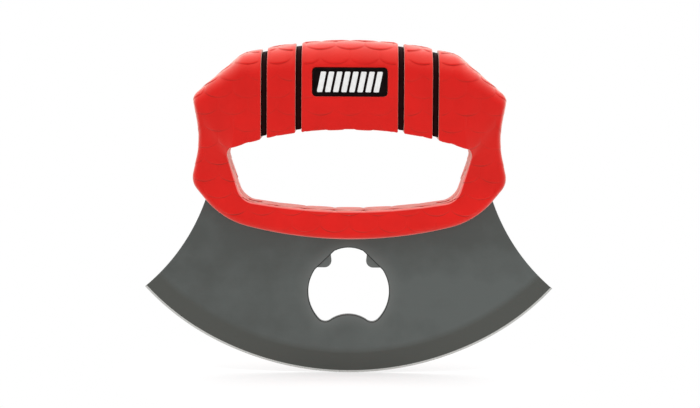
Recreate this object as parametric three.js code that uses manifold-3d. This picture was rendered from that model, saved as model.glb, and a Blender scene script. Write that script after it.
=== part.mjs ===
// Ulu knife: a rocking blade with a bottle opener cut through it, under a closed loop handle.
// The handle is a hard core in two halves, riveted over the blade's tang and through its own grip bar,
// with a soft skin moulded over it. Four hoops of the core come up between the skin's pieces as dark stripes.
//
// Millimetres. Seen from the front, +X runs along the blade to the right, +Y away from the viewer and +Z up.
// The origin is the lowest point of the cutting edge, where the knife meets the board.
import * as THREE from "three";
import { mergeVertices } from "three/addons/utils/BufferGeometryUtils.js";
import Module from "manifold-3d";

const wasm = await Module();
wasm.setup();

// Blade
const BLADE_SPAN = 152.4; // tip to tip
const BLADE_THICKNESS = 3;
const BLADE_DEPTH = 50.95; // from the edge up to the handle, on the middle line
const EDGE_RADIUS = 109.4; // the rocking curve of the cutting edge
const TIP_START = 28.4; // degrees from straight down, where the edge starts to bend up to the tips
const TIP_BEND = 0.095; // how strongly it bends: the share of the radius lost at one radian past that
const SIDE_RADIUS = 75; // the hollow sides between the tips and the handle
const GRIND_WIDTH = 7.7; // the main grind, measured in from the edge
const GRIND_THICKNESS = 0.8; // what the main grind leaves where the edge bevel starts
const EDGE_BEVEL_WIDTH = 0.8;
const EDGE_THICKNESS = 0.16;

// Bottle opener in the blade
const OPENER_HEIGHT = 30.63; // centre of the opening, above the edge
const OPENER_RADIUS = 15.08;
const OPENER_ROOF = 16.52; // from that centre up to the roof
const OPENER_ROOF_RADIUS = 12;
const OPENER_ROOF_SPAN = 10.8;
const OPENER_SIDE_TOP = 8.22; // from that centre up to where the round sides end
const OPENER_SILL = 8.53; // from that centre down to the top of the sill
const OPENER_SILL_RADIUS = 12;
const OPENER_LOBE_RADIUS = 3.2; // the round ends of the opening beside the sill
const TAB_SPAN = 12.3; // clear width between the two tabs that catch the cap
const TAB_ROOT_SPAN = 13.5; // the same at the tabs' roots
const TAB_LIFT = 0.7; // from where the round sides end up to the tabs' lower side
const TAB_TIP_RADIUS = 2.6;
const TAB_ROOT_RADIUS = 1.1;
const TAB_THICKNESS = 1.4;

// Handle heights, each counted from the one below it
const BAR_HEIGHT = 10.45; // the lower bar, which holds the blade
const FINGER_HEIGHT = 30.43; // the opening for the fingers
const GRIP_HEIGHT = 32.5; // the grip bar over the fingers

// Handle outline
const GRIP_TOP_RADIUS = 154;
const GRIP_FALL = 13.5; // degrees, where the top's curve runs out into a straight fall
const BREAK_SPAN = 79.1; // corner between the grip's top and the sloping shoulder
const BREAK_RADIUS = 7;
const SHOULDER_SPAN = 115.8;
const SHOULDER_DROP = 20.8; // from the top of the handle
const SHOULDER_RADIUS = 4.5;
const WAIST_SPAN = 109.75;
const WAIST_DROP = 4.2; // from the top of the finger opening
const WAIST_RADIUS = 35;
const BULGE_SPAN = 116.9;
const BULGE_RISE = 10.55; // from the bottom of the finger opening
const BULGE_RADIUS = 7;
const HEEL_SPAN = 94;
const HEEL_RADIUS = 30;
const BAR_RADIUS = 156;
const BAR_FALL = 14; // degrees

// Finger opening outline
const FINGER_TOP_RADIUS = 138;
const FINGER_FALL = 17; // degrees
const FINGER_TOP_SPAN = 91.4;
const FINGER_TOP_CORNER = 3;
const FINGER_SILL_RADIUS = 205;
const FINGER_SILL_FALL = 9; // degrees
const FINGER_SILL_SPAN = 79.3;
const FINGER_SILL_CORNER = 7;

// Handle sections, front to back
const GRIP_THICKNESS = 28;
const BAR_THICKNESS = 18;
const GRIP_SWELL = 2; // how late the bar's thickness grows to the grip's, as a power of the height
const CROWN_RADIUS = 11; // rounding of the grip on the palm's side
const CROWN_FADE = 6; // how fast that runs out down the shoulders, as a power of their height
const BAR_EDGE_RADIUS = 2.2;
const FINGER_EDGE_RADIUS = 0.6; // rounding all round the finger opening
const EDGE_LEFT = 0.4; // least rounding left on surfaces that lie deeper

// Skin, core and what joins them
const SKIN_WALL = 2.4;
const CORE_WALL = 1.5; // core left round the edge of the tang
const SEAT_GAP = 0.3; // between pieces that seat on each other
const STRIPE_WIDTH = 2.2;
const STRIPE_RECESS = 1.1; // how far the core's hoops lie below the skin
const INNER_STRIPE_SPAN = 37.5; // between the centres of the two inner stripes
const OUTER_STRIPE_SPAN = 62.8;
const RIVET_DIAMETER = 2.6;
const RIVET_HEAD_DIAMETER = 4.4;
const RIVET_HEAD_HEIGHT = 1.1;
const RIVET_SINK = 1.2; // how far the rivet heads lie below the core's surface
const BAR_RIVET_SPAN = 52; // between the two rivets in the lower bar
const TANG_RISE = 20; // how far the tang's horns reach up the legs, from the bottom of the finger opening

// Badge let into the front of the grip
const BADGE_WIDTH = 27.3;
const BADGE_HEIGHT = 10.35;
const BADGE_CORNER = 1.4;
const BADGE_RISE = 1.1; // from the middle of the grip bar
const BADGE_SINK = 0.15; // how far the badge's face lies below the skin
const BADGE_FLOOR = 0.45; // skin left under the badge

// Fineness of the curves
const CORNER_STEPS = 12;
const SECTION_STEPS = 5; // in each of a section's four corners
const HIDDEN_STEPS = 2; // the same, for the surfaces between skin and core
const EDGE_STEPS = 180; // facets in a full turn of the cutting edge
const HOLE_STEPS = 14;
const RIVET_STEPS = 16;
const OVERRUN = 1; // how far a cut runs past what it cuts

const BAR_BOTTOM = BLADE_DEPTH;
const FINGER_BOTTOM = BAR_BOTTOM + BAR_HEIGHT;
const FINGER_TOP = FINGER_BOTTOM + FINGER_HEIGHT;
const HANDLE_TOP = FINGER_TOP + GRIP_HEIGHT;
const FAR = BLADE_SPAN + HANDLE_TOP; // past every side of the knife

// Points in the XZ plane are Vector2, with z in y.
const point = (x, z) => new THREE.Vector2(x, z);
const mirrored = (p) => point(-p.x, p.y);
const radians = THREE.MathUtils.degToRad;
const SAME_POINT = 1e-6;

// A chain of points that is given for the right side, completed by its mirror image on the left.
function bothSides(right) {
  const all = [...right, ...right.map(mirrored).reverse()];
  return all.filter((p, i) => i === 0 || p.distanceTo(all[i - 1]) > SAME_POINT);
}

// Points along an arc from one angle to another, both in radians from +X.
function arcPoints(centre, radius, from, to, steps = HOLE_STEPS) {
  return Array.from({ length: steps + 1 }, (_, i) => {
    const angle = from + ((to - from) * i) / steps;
    return point(centre.x + radius * Math.cos(angle), centre.y + radius * Math.sin(angle));
  });
}

// How far from a corner its rounding starts, along the straight runs before and after it.
function cornerReach(before, corner, after, radius) {
  const turn = Math.PI - Math.abs(before.clone().sub(corner).angleTo(after.clone().sub(corner)));
  return radius * Math.tan(turn / 2);
}

// The arc that rounds a corner, starting and ending this far from it.
function roundCorner(before, corner, after, reach, steps = CORNER_STEPS) {
  const back = before.clone().sub(corner).normalize();
  const on = after.clone().sub(corner).normalize();
  const half = back.angleTo(on) / 2;
  const centre = corner.clone().addScaledVector(back.clone().add(on).normalize(), reach / Math.cos(half));
  const first = corner.clone().addScaledVector(back, reach).sub(centre);
  const last = corner.clone().addScaledVector(on, reach).sub(centre);
  const sweep = Math.atan2(first.cross(last), first.dot(last));
  return arcPoints(centre, first.length(), first.angle(), first.angle() + sweep, steps);
}

// A chain of corners, rounded between its first and last points. Where two roundings share a run that is too
// short for both, each gives way in proportion.
function roundedCorners(chain, steps = CORNER_STEPS) {
  const reach = chain.map(({ at, radius }, i) =>
    i > 0 && i < chain.length - 1 ? cornerReach(chain[i - 1].at, at, chain[i + 1].at, radius) : 0,
  );
  const share = chain.slice(1).map(({ at }, i) => {
    const wanted = reach[i] + reach[i + 1];
    return Math.min(1, at.distanceTo(chain[i].at) / Math.max(wanted, SAME_POINT));
  });
  return chain.slice(1, -1).map(({ at }, i) => {
    const fits = reach[i + 1] * Math.min(share[i], share[i + 1]);
    return roundCorner(chain[i].at, at, chain[i + 2].at, fits, steps);
  });
}

// The corner on the middle line under a curve of this radius that is level at this height and runs out into a
// straight fall at this angle.
function apex(height, radius, degrees, up) {
  return point(0, height + up * radius * (1 / Math.cos(radians(degrees)) - 1));
}

// A point on the straight run that leaves an apex, at this distance from the middle line.
function onFall(top, span, degrees, up) {
  return point(span / 2, top.y - (up * span * Math.tan(radians(degrees))) / 2);
}

// The right half of a rounded outline, from the middle line at the top to the middle line at the bottom.
// marks gives, for each named corner, where its rounding starts, is half way and ends, as places in points.
function halfOutline(corners) {
  const points = [];
  const marks = {};
  const last = corners.length - 1;
  const beyond = (corner) => ({ at: mirrored(corner.at), radius: corner.radius });
  const arcs = roundedCorners([beyond(corners[1]), ...corners, beyond(corners[last - 1])]);
  const middle = CORNER_STEPS / 2;
  arcs.forEach((arc, i) => {
    const from = i === 0 ? middle : 0;
    const to = i === last ? middle : CORNER_STEPS;
    const start = points.length - from;
    marks[corners[i].name] = { start: start + from, middle: start + middle, end: start + to };
    points.push(...arc.slice(from, to + 1));
  });
  return { points, marks };
}

// The point at a share of the way along an outline between two of its places.
function along(points, from, to, share) {
  const run = points.slice(from, to + 1);
  const steps = run.slice(1).map((p, i) => p.distanceTo(run[i]));
  let left = share * steps.reduce((sum, step) => sum + step, 0);
  for (let i = 0; i < steps.length; i++) {
    if (left <= steps[i]) return run[i].clone().lerp(run[i + 1], left / steps[i]);
    left -= steps[i];
  }
  return run[run.length - 1].clone();
}

function handleOutline() {
  const top = apex(HANDLE_TOP, GRIP_TOP_RADIUS, GRIP_FALL, 1);
  const bottom = apex(BAR_BOTTOM, BAR_RADIUS, BAR_FALL, -1);
  return halfOutline([
    { name: "top", at: top, radius: GRIP_TOP_RADIUS },
    { name: "break", at: onFall(top, BREAK_SPAN, GRIP_FALL, 1), radius: BREAK_RADIUS },
    { name: "shoulder", at: point(SHOULDER_SPAN / 2, HANDLE_TOP - SHOULDER_DROP), radius: SHOULDER_RADIUS },
    { name: "waist", at: point(WAIST_SPAN / 2, FINGER_TOP - WAIST_DROP), radius: WAIST_RADIUS },
    { name: "bulge", at: point(BULGE_SPAN / 2, FINGER_BOTTOM + BULGE_RISE), radius: BULGE_RADIUS },
    { name: "heel", at: onFall(bottom, HEEL_SPAN, BAR_FALL, -1), radius: HEEL_RADIUS },
    { name: "bottom", at: bottom, radius: BAR_RADIUS },
  ]);
}

function fingerOutline() {
  const top = apex(FINGER_TOP, FINGER_TOP_RADIUS, FINGER_FALL, 1);
  const sill = apex(FINGER_BOTTOM, FINGER_SILL_RADIUS, FINGER_SILL_FALL, -1);
  return halfOutline([
    { name: "top", at: top, radius: FINGER_TOP_RADIUS },
    { name: "upper", at: onFall(top, FINGER_TOP_SPAN, FINGER_FALL, 1), radius: FINGER_TOP_CORNER },
    { name: "lower", at: onFall(sill, FINGER_SILL_SPAN, FINGER_SILL_FALL, -1), radius: FINGER_SILL_CORNER },
    { name: "sill", at: sill, radius: FINGER_SILL_RADIUS },
  ]);
}

const outer = handleOutline();
const inner = fingerOutline();

// Places round the right half of the loop where the two outlines belong together, and how many sections lie
// from each to the next.
const STATIONS = [
  { outer: outer.marks.top.middle, inner: inner.marks.top.middle, sections: 8 },
  { outer: outer.marks.break.middle, inner: inner.marks.upper.start, sections: 4 },
  { outer: outer.marks.shoulder.middle, inner: inner.marks.upper.middle, sections: 6 },
  { outer: outer.marks.waist.middle, inner: inner.marks.upper.end, sections: 4 },
  { outer: outer.marks.bulge.middle, inner: inner.marks.lower.start, sections: 5 },
  { outer: outer.marks.heel.middle, inner: inner.marks.lower.middle, sections: 4 },
  { outer: outer.marks.heel.end, inner: inner.marks.lower.end, sections: 6 },
  { outer: outer.marks.bottom.middle, inner: inner.marks.sill.middle, sections: 0 },
];
const [TOP, , , WAIST, BULGE, , BAR_END, BOTTOM] = STATIONS.keys();

// The section of the handle at a place round its right half: 0 is the first station, and 1.5 lies half way
// between the second and the third.
function sectionAt(place) {
  const k = Math.min(Math.floor(place), STATIONS.length - 2);
  const [a, b] = [STATIONS[k], STATIONS[k + 1]];
  const out = along(outer.points, a.outer, b.outer, place - k);
  const into = along(inner.points, a.inner, b.inner, place - k);
  const middle = out.clone().add(into).divideScalar(2);
  const rise = THREE.MathUtils.smoothstep(middle.y, FINGER_BOTTOM, FINGER_TOP + GRIP_HEIGHT / 2);
  return {
    middle,
    inward: into.clone().sub(out).normalize(),
    halfWidth: into.distanceTo(out) / 2,
    halfThickness: THREE.MathUtils.lerp(BAR_THICKNESS, GRIP_THICKNESS, rise ** GRIP_SWELL) / 2,
    crown: THREE.MathUtils.lerp(BAR_EDGE_RADIUS, CROWN_RADIUS, rise ** CROWN_FADE),
  };
}

const mirroredSection = (s) => ({ ...s, middle: mirrored(s.middle), inward: mirrored(s.inward) });

// The number between two others at which a measure that only rises or only falls comes to this value.
function where(measure, value, from, to) {
  const rising = measure(to) > measure(from);
  let [low, high] = [from, to];
  while (high - low > SAME_POINT) {
    const half = (low + high) / 2;
    if (measure(half) < value === rising) low = half;
    else high = half;
  }
  return low;
}

// The place between two others where the middle of the section comes to this x, or to this height as y.
function placeWhere(axis, value, from, to) {
  return where((place) => sectionAt(place).middle[axis], value, from, to);
}

// Places along the right half between two stations, as finely as the sections are set there or more coarsely.
function placesBetween(from, to, coarser = 1) {
  const places = STATIONS.flatMap(({ sections }, k) => {
    const count = Math.ceil(sections / coarser);
    return Array.from({ length: count }, (_, i) => k + i / count);
  });
  return [from, ...places.filter((p) => p > from + SAME_POINT && p < to - SAME_POINT), to];
}

// A closed geometry as a solid that can be joined and cut.
function solid(geometry) {
  geometry.deleteAttribute("normal");
  geometry.deleteAttribute("uv");
  const merged = mergeVertices(geometry, 1e-4);
  return new wasm.Manifold(
    new wasm.Mesh({
      numProp: 3,
      vertProperties: merged.attributes.position.array,
      triVerts: Uint32Array.from(merged.index.array),
    }),
  );
}

function geometryOf(body) {
  const mesh = body.getMesh();
  const geometry = new THREE.BufferGeometry();
  geometry.setAttribute("position", new THREE.BufferAttribute(mesh.vertProperties, 3));
  geometry.setIndex(new THREE.BufferAttribute(mesh.triVerts, 1));
  geometry.computeVertexNormals();
  return geometry;
}

// A flat plate of this outline, from one y to another.
function plate(outline, front, back) {
  const shape = new THREE.Shape(outline);
  const geometry = new THREE.ExtrudeGeometry(shape, { depth: back - front, bevelEnabled: false });
  geometry.rotateX(Math.PI / 2).translate(0, back, 0);
  return solid(geometry);
}

function block(fromX, toX, fromY, toY, fromZ, toZ) {
  const geometry = new THREE.BoxGeometry(toX - fromX, toY - fromY, toZ - fromZ);
  return solid(geometry.translate((fromX + toX) / 2, (fromY + toY) / 2, (fromZ + toZ) / 2));
}

// A round body about an axis along Y through a point of the XZ plane. The profile holds [radius, y] pairs.
function turned(profile, at, segments) {
  const points = profile.map(([radius, y]) => point(radius, y));
  return solid(new THREE.LatheGeometry(points, segments).translate(at.x, 0, at.y));
}

// A turned profile that is given for the front, completed by its mirror image at the back.
const bothEnds = (profile) => [...profile, ...profile.map(([radius, y]) => [radius, -y]).reverse()];

// A section's outline, moved in by this much. The points hold the distance from the section's middle towards
// the finger opening, and y.
function sectionOutline({ halfWidth, halfThickness, crown }, inset, steps) {
  const [w, t] = [halfWidth - inset, halfThickness - inset];
  const fingers = Math.max(FINGER_EDGE_RADIUS - inset, EDGE_LEFT);
  const palm = Math.min(Math.max(crown - inset, EDGE_LEFT), w, t);
  const corner = (across, y, radius, turn) => {
    const centre = point(across * (w - radius), y * (t - radius));
    return arcPoints(centre, radius, turn * Math.PI, (turn + 0.5) * Math.PI, steps);
  };
  return [
    ...corner(1, 1, fingers, 0),
    ...corner(-1, 1, palm, 0.5),
    ...corner(-1, -1, palm, 1),
    ...corner(1, -1, fingers, 1.5),
  ];
}

// The whole loop of the handle, with its surface moved in by this much. Hidden surfaces have fewer facets.
function loop(inset, hidden = false) {
  const right = placesBetween(TOP, BOTTOM, hidden ? 2 : 1).map(sectionAt);
  const left = right.slice(1, -1).reverse().map(mirroredSection);
  const ring = [...right, ...left];
  const outlines = ring.map((s) => sectionOutline(s, inset, hidden ? HIDDEN_STEPS : SECTION_STEPS));
  const steps = outlines[0].length;
  const positions = ring.flatMap((s, i) =>
    outlines[i].flatMap(({ x: across, y }) => {
      const p = s.middle.clone().addScaledVector(s.inward, across);
      return [p.x, y, p.y];
    }),
  );
  const index = [];
  const place = (i, j) => (i % ring.length) * steps + (j % steps);
  for (let i = 0; i < ring.length; i++) {
    for (let j = 0; j < steps; j++) {
      index.push(place(i, j), place(i, j + 1), place(i + 1, j + 1));
      index.push(place(i, j), place(i + 1, j + 1), place(i + 1, j));
    }
  }
  const geometry = new THREE.BufferGeometry();
  geometry.setAttribute("position", new THREE.Float32BufferAttribute(positions, 3));
  geometry.setIndex(index);
  return solid(geometry);
}

// The stretch of the grip bar between two distances from the middle line, everything below the bar left out.
function gripStretch(fromX, toX) {
  return block(fromX, toX, -FAR, FAR, (FINGER_BOTTOM + FINGER_TOP) / 2, FAR);
}

// The strip of tang inside the lower bar and part way up the handle's legs.
function tangStrip(grow) {
  const top = placeWhere("y", FINGER_BOTTOM + TANG_RISE + grow, WAIST, BULGE);
  const sections = placesBetween(top, BOTTOM).map(sectionAt);
  const cover = SKIN_WALL + SEAT_GAP + CORE_WALL - grow;
  const side = (s, way) => s.middle.clone().addScaledVector(s.inward, way * (s.halfWidth - cover));
  const outside = bothSides(sections.map((s) => side(s, -1)));
  const inside = bothSides(sections.map((s) => side(s, 1)));
  return plate([...outside, ...inside.reverse()], -BLADE_THICKNESS / 2 - grow, BLADE_THICKNESS / 2 + grow);
}

// The share of its radius that the edge's curve keeps at this angle from straight down.
function edgeShare(angle) {
  return 1 - TIP_BEND * Math.max(0, Math.abs(angle) - radians(TIP_START)) ** 2;
}

function onEdge(angle) {
  const radius = EDGE_RADIUS * edgeShare(angle);
  return point(radius * Math.sin(angle), EDGE_RADIUS - radius * Math.cos(angle));
}

// The blade below the tang, before it is ground: its sides run on past the tips and up to the middle of the
// lower bar.
function bladeBlank(grow) {
  const tip = onEdge(where((angle) => onEdge(angle).x, BLADE_SPAN / 2, 0, Math.PI / 2));
  const neck = outer.points[outer.marks.heel.start];
  const chord = neck.clone().sub(tip);
  const outward = point(chord.y, -chord.x).normalize();
  const stand = Math.sqrt(SIDE_RADIUS ** 2 - chord.lengthSq() / 4);
  const centre = tip.clone().add(neck).divideScalar(2).addScaledVector(outward, stand);
  const shoulders = sectionAt(BULGE).middle;
  const low = tip.clone().sub(centre).angle() + OVERRUN / SIDE_RADIUS;
  const high = Math.PI - Math.asin((shoulders.y - centre.y) / SIDE_RADIUS);
  const side = arcPoints(centre, SIDE_RADIUS - grow, low, high, CORNER_STEPS);
  const under = point(side[0].x, -OVERRUN);
  const sides = plate(bothSides([under, ...side]), -BLADE_THICKNESS / 2 - grow, BLADE_THICKNESS / 2 + grow);
  const bar = placesBetween(BULGE, BOTTOM).map((place) => sectionAt(place).middle);
  const below = plate(bothSides([point(FAR, -FAR), point(FAR, shoulders.y), ...bar]), -FAR, FAR);
  return sides.intersect(below);
}

// A disc as thick as the blade, ground to an edge round its rim, which is drawn in towards the tips.
function grindingDisc() {
  const face = BLADE_THICKNESS / 2;
  const profile = [
    [0, -face],
    [EDGE_RADIUS - GRIND_WIDTH, -face],
    [EDGE_RADIUS - EDGE_BEVEL_WIDTH, -GRIND_THICKNESS / 2],
    [EDGE_RADIUS, -EDGE_THICKNESS / 2],
  ];
  return turned(bothEnds(profile), point(0, EDGE_RADIUS), EDGE_STEPS).warp((p) => {
    const share = edgeShare(Math.atan2(p[0], EDGE_RADIUS - p[2]));
    p[0] *= share;
    p[2] = EDGE_RADIUS + (p[2] - EDGE_RADIUS) * share;
  });
}

// The bottle opener's outline, with the tabs that catch the cap or without them.
function openerOutline(withTabs) {
  const centre = point(0, OPENER_HEIGHT);
  const roofCentre = point(0, OPENER_HEIGHT + OPENER_ROOF - OPENER_ROOF_RADIUS);
  const roofEnd = Math.acos(OPENER_ROOF_SPAN / 2 / OPENER_ROOF_RADIUS);
  const roof = arcPoints(roofCentre, OPENER_ROOF_RADIUS, Math.PI / 2, roofEnd);
  // Each lobe rounds the corner between the sill's curve and the round side, touching both.
  const sillCentre = point(0, OPENER_HEIGHT - OPENER_SILL - OPENER_SILL_RADIUS);
  const toSide = OPENER_RADIUS - OPENER_LOBE_RADIUS;
  const toSill = OPENER_SILL_RADIUS + OPENER_LOBE_RADIUS;
  const drop = centre.y - sillCentre.y;
  const lobeRise = (toSill ** 2 - toSide ** 2 + drop ** 2) / (2 * drop);
  const lobe = point(Math.sqrt(toSill ** 2 - lobeRise ** 2), sillCentre.y + lobeRise);
  const lobeFromSide = lobe.clone().sub(centre).angle() - 2 * Math.PI;
  const lobeFromSill = sillCentre.clone().sub(lobe).angle() - 2 * Math.PI;
  const sideTop = Math.asin(OPENER_SIDE_TOP / OPENER_RADIUS);
  const side = arcPoints(centre, OPENER_RADIUS, sideTop, lobeFromSide);
  const round = arcPoints(lobe, OPENER_LOBE_RADIUS, lobeFromSide, lobeFromSill);
  const sill = arcPoints(sillCentre, OPENER_SILL_RADIUS, lobeFromSill + Math.PI, Math.PI / 2);
  const tab = withTabs ? tabOutline(roof[roof.length - 1], side[0]) : [];
  return bothSides([...roof, ...tab, ...side, ...round, ...sill]);
}

// The edge of the right tab, from the end of the roof to the top of the round side.
function tabOutline(roofEnd, sideTop) {
  const inside = point(TAB_ROOT_SPAN / 2, roofEnd.y - (TAB_ROOT_SPAN - OPENER_ROOF_SPAN) / 2);
  const tip = point(TAB_SPAN / 2, sideTop.y + TAB_LIFT);
  const outside = point(sideTop.x - TAB_LIFT / 2, tip.y);
  return roundedCorners(
    [
      { at: roofEnd },
      { at: inside, radius: TAB_ROOT_RADIUS },
      { at: tip, radius: TAB_TIP_RADIUS },
      { at: outside, radius: TAB_ROOT_RADIUS },
      { at: sideTop },
    ],
    CORNER_STEPS / 2,
  ).flat();
}

// A rivet sits at a section of the handle, upset on both sides, with its heads below the core's surface.
function rivetAt(place, left) {
  const s = sectionAt(place);
  const halfLength = s.halfThickness - SKIN_WALL - SEAT_GAP - RIVET_SINK;
  return { at: left ? mirrored(s.middle) : s.middle, halfLength };
}

function rivet({ at, halfLength }) {
  const shank = RIVET_DIAMETER / 2;
  const head = RIVET_HEAD_DIAMETER / 2;
  const neck = halfLength - RIVET_HEAD_HEIGHT;
  const dome = halfLength - RIVET_HEAD_HEIGHT / 3;
  const half = [
    [0, -halfLength],
    [(head + shank) / 2, -halfLength],
    [head, -dome],
    [head, -neck],
    [shank, -neck],
  ];
  return turned(bothEnds(half), at, RIVET_STEPS);
}

// What a rivet needs clear: its hole, and its sunk seats from the heads out to the skin.
function rivetRoom({ at, halfLength }) {
  const shank = RIVET_DIAMETER / 2 + SEAT_GAP;
  const head = RIVET_HEAD_DIAMETER / 2 + SEAT_GAP;
  const seat = halfLength - RIVET_HEAD_HEIGHT - SEAT_GAP;
  const half = [
    [0, -GRIP_THICKNESS],
    [head, -GRIP_THICKNESS],
    [head, -seat],
    [shank, -seat],
  ];
  return turned(bothEnds(half), at, RIVET_STEPS);
}

const inBar = placeWhere("x", BAR_RIVET_SPAN / 2, BAR_END, BOTTOM);
const inBand = placeWhere("x", (INNER_STRIPE_SPAN + OUTER_STRIPE_SPAN) / 4, TOP, TOP + 1);
const RIVETS = {
  tang_rivet_left_corner: rivetAt(BULGE, true),
  tang_rivet_left_bar: rivetAt(inBar, true),
  tang_rivet_right_bar: rivetAt(inBar, false),
  tang_rivet_right_corner: rivetAt(BULGE, false),
  grip_rivet_left: rivetAt(inBand, true),
  grip_rivet_centre: rivetAt(TOP, false),
  grip_rivet_right: rivetAt(inBand, false),
};
const rivetHoles = wasm.Manifold.union(Object.values(RIVETS).map(rivetRoom));

function blade() {
  const ground = bladeBlank(0).intersect(grindingDisc());
  const through = plate(openerOutline(true), -FAR, FAR);
  const step = plate(openerOutline(false), -FAR, BLADE_THICKNESS / 2 - TAB_THICKNESS);
  return ground.add(tangStrip(0)).subtract(through).subtract(step).subtract(rivetHoles);
}

// The room that the blade and its tang take up in the handle.
const bladeRoom = bladeBlank(SEAT_GAP).add(tangStrip(SEAT_GAP));

// Half of the core: its hoops stand up between the pieces of skin, and it closes round the tang.
function coreHalf(front) {
  const hoops = [INNER_STRIPE_SPAN, OUTER_STRIPE_SPAN].flatMap((span) =>
    [-1, 1].map((side) => {
      const middle = (side * span) / 2;
      const reach = STRIPE_WIDTH / 2 - SEAT_GAP;
      return gripStretch(middle - reach, middle + reach);
    }),
  );
  const raised = loop(STRIPE_RECESS).intersect(wasm.Manifold.union(hoops));
  const side = front ? block(-FAR, FAR, -FAR, 0, -FAR, FAR) : block(-FAR, FAR, 0, FAR, -FAR, FAR);
  const whole = loop(SKIN_WALL + SEAT_GAP, true).add(raised);
  return whole.intersect(side).subtract(bladeRoom).subtract(rivetHoles);
}

// The badge's outline, grown for the pocket that it sits in.
function badgePrism(grow) {
  const [x, z] = [BADGE_WIDTH / 2 + grow, BADGE_HEIGHT / 2 + grow];
  const middle = (FINGER_TOP + HANDLE_TOP) / 2 + BADGE_RISE;
  const corners = [point(x, middle + z), point(x, middle - z), point(-x, middle - z), point(-x, middle + z)];
  const chain = [corners[3], ...corners, corners[0]].map((at) => ({ at, radius: BADGE_CORNER + grow }));
  const outline = roundedCorners(chain, CORNER_STEPS / 2).flat();
  return plate(outline, -FAR, 0);
}

// The badge follows the curve of the grip, and so does the floor of its pocket.
const badgeFloor = loop(SKIN_WALL - BADGE_FLOOR);
const badgeBack = loop(SKIN_WALL - BADGE_FLOOR - SEAT_GAP);
const badge = () => loop(BADGE_SINK).subtract(badgeBack).intersect(badgePrism(0));
const badgePocket = () => badgePrism(SEAT_GAP).subtract(badgeFloor);

// The skin, and where the stripes part it: the centre and bands of the grip, and the frame that is the rest.
const skin = loop(0).subtract(loop(SKIN_WALL, true));
const centreEnd = (INNER_STRIPE_SPAN - STRIPE_WIDTH) / 2;
const bandStart = (INNER_STRIPE_SPAN + STRIPE_WIDTH) / 2;
const bandEnd = (OUTER_STRIPE_SPAN - STRIPE_WIDTH) / 2;
const frameStart = (OUTER_STRIPE_SPAN + STRIPE_WIDTH) / 2;

function gripFrame() {
  return skin.subtract(gripStretch(-frameStart, frameStart)).subtract(bladeRoom);
}

function gripBand(left) {
  return skin.intersect(left ? gripStretch(-bandEnd, -bandStart) : gripStretch(bandStart, bandEnd));
}

function gripCentre() {
  return skin.intersect(gripStretch(-centreEnd, centreEnd)).subtract(badgePocket());
}

const coatedSteel = { color: 0x5a5e5b, roughness: 0.45, metalness: 0.8 };
const bareSteel = { color: 0xb9bab6, roughness: 0.3, metalness: 1 };
const redRubber = { color: 0xd62826, roughness: 0.6, metalness: 0 };
const blackPlastic = { color: 0x1e1618, roughness: 0.5, metalness: 0 };

const knife = new THREE.Group();
const tang = new THREE.Group();
const handle = new THREE.Group();
knife.add(tang, handle);

function addPiece(group, name, body, look) {
  const mesh = new THREE.Mesh(geometryOf(body), new THREE.MeshStandardMaterial(look));
  mesh.name = name;
  group.add(mesh);
}

addPiece(tang, "blade", blade(), coatedSteel);
for (const [name, place] of Object.entries(RIVETS)) addPiece(tang, name, rivet(place), bareSteel);
addPiece(handle, "core_front", coreHalf(true), blackPlastic);
addPiece(handle, "core_back", coreHalf(false), blackPlastic);
addPiece(handle, "grip_frame", gripFrame(), redRubber);
addPiece(handle, "grip_band_left", gripBand(true), redRubber);
addPiece(handle, "grip_centre", gripCentre(), redRubber);
addPiece(handle, "grip_band_right", gripBand(false), redRubber);
addPiece(handle, "badge", badge(), blackPlastic);

export default knife;
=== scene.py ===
"""Looks of the ulu knife: its soft scaled skin, dark hoops, coated blade and badge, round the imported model.

Shapes are worked out in millimetres in the model's own frame. Seen from the front, +X runs to the right along
the blade, +Y away from the viewer and +Z up, from the lowest point of the cutting edge. Meshes are stored in
metres, and so are the places of the floor and the lamps.
"""
import math

import bmesh
import bpy
import numpy as np
from mathutils import Matrix, Vector
from mathutils.geometry import tessellate_polygon


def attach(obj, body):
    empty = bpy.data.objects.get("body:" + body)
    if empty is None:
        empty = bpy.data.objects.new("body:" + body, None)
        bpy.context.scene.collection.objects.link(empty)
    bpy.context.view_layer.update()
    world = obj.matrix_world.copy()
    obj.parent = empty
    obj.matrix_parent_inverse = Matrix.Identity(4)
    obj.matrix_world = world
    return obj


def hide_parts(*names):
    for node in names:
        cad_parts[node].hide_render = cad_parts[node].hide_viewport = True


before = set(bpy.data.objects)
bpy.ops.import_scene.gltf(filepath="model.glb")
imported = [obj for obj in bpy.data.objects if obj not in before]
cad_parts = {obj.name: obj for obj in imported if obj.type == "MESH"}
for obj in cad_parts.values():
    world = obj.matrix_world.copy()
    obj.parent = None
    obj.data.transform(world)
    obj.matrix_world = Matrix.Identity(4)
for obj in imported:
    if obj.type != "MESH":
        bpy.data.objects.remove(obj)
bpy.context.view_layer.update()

MM = 0.001
SAME_POINT = 1e-6  # points closer than this are one
WELD = 1e-3  # the same for the vertices of a finished mesh

# Blade
BLADE_SPAN = 152.4
BLADE_THICKNESS = 3.0
BLADE_DEPTH = 50.95
EDGE_RADIUS = 109.4
TIP_START = 28.4  # degrees from straight down, where the edge starts to bend up
TIP_BEND = 0.095  # share of the radius lost at one radian past that
SIDE_RADIUS = 75.0
GRIND_WIDTH = 7.7
GRIND_THICKNESS = 0.8
EDGE_BEVEL_WIDTH = 0.8
EDGE_THICKNESS = 0.16
SIDE_CHAMFER = 0.18
HOLE_CHAMFER = 0.38

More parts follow.
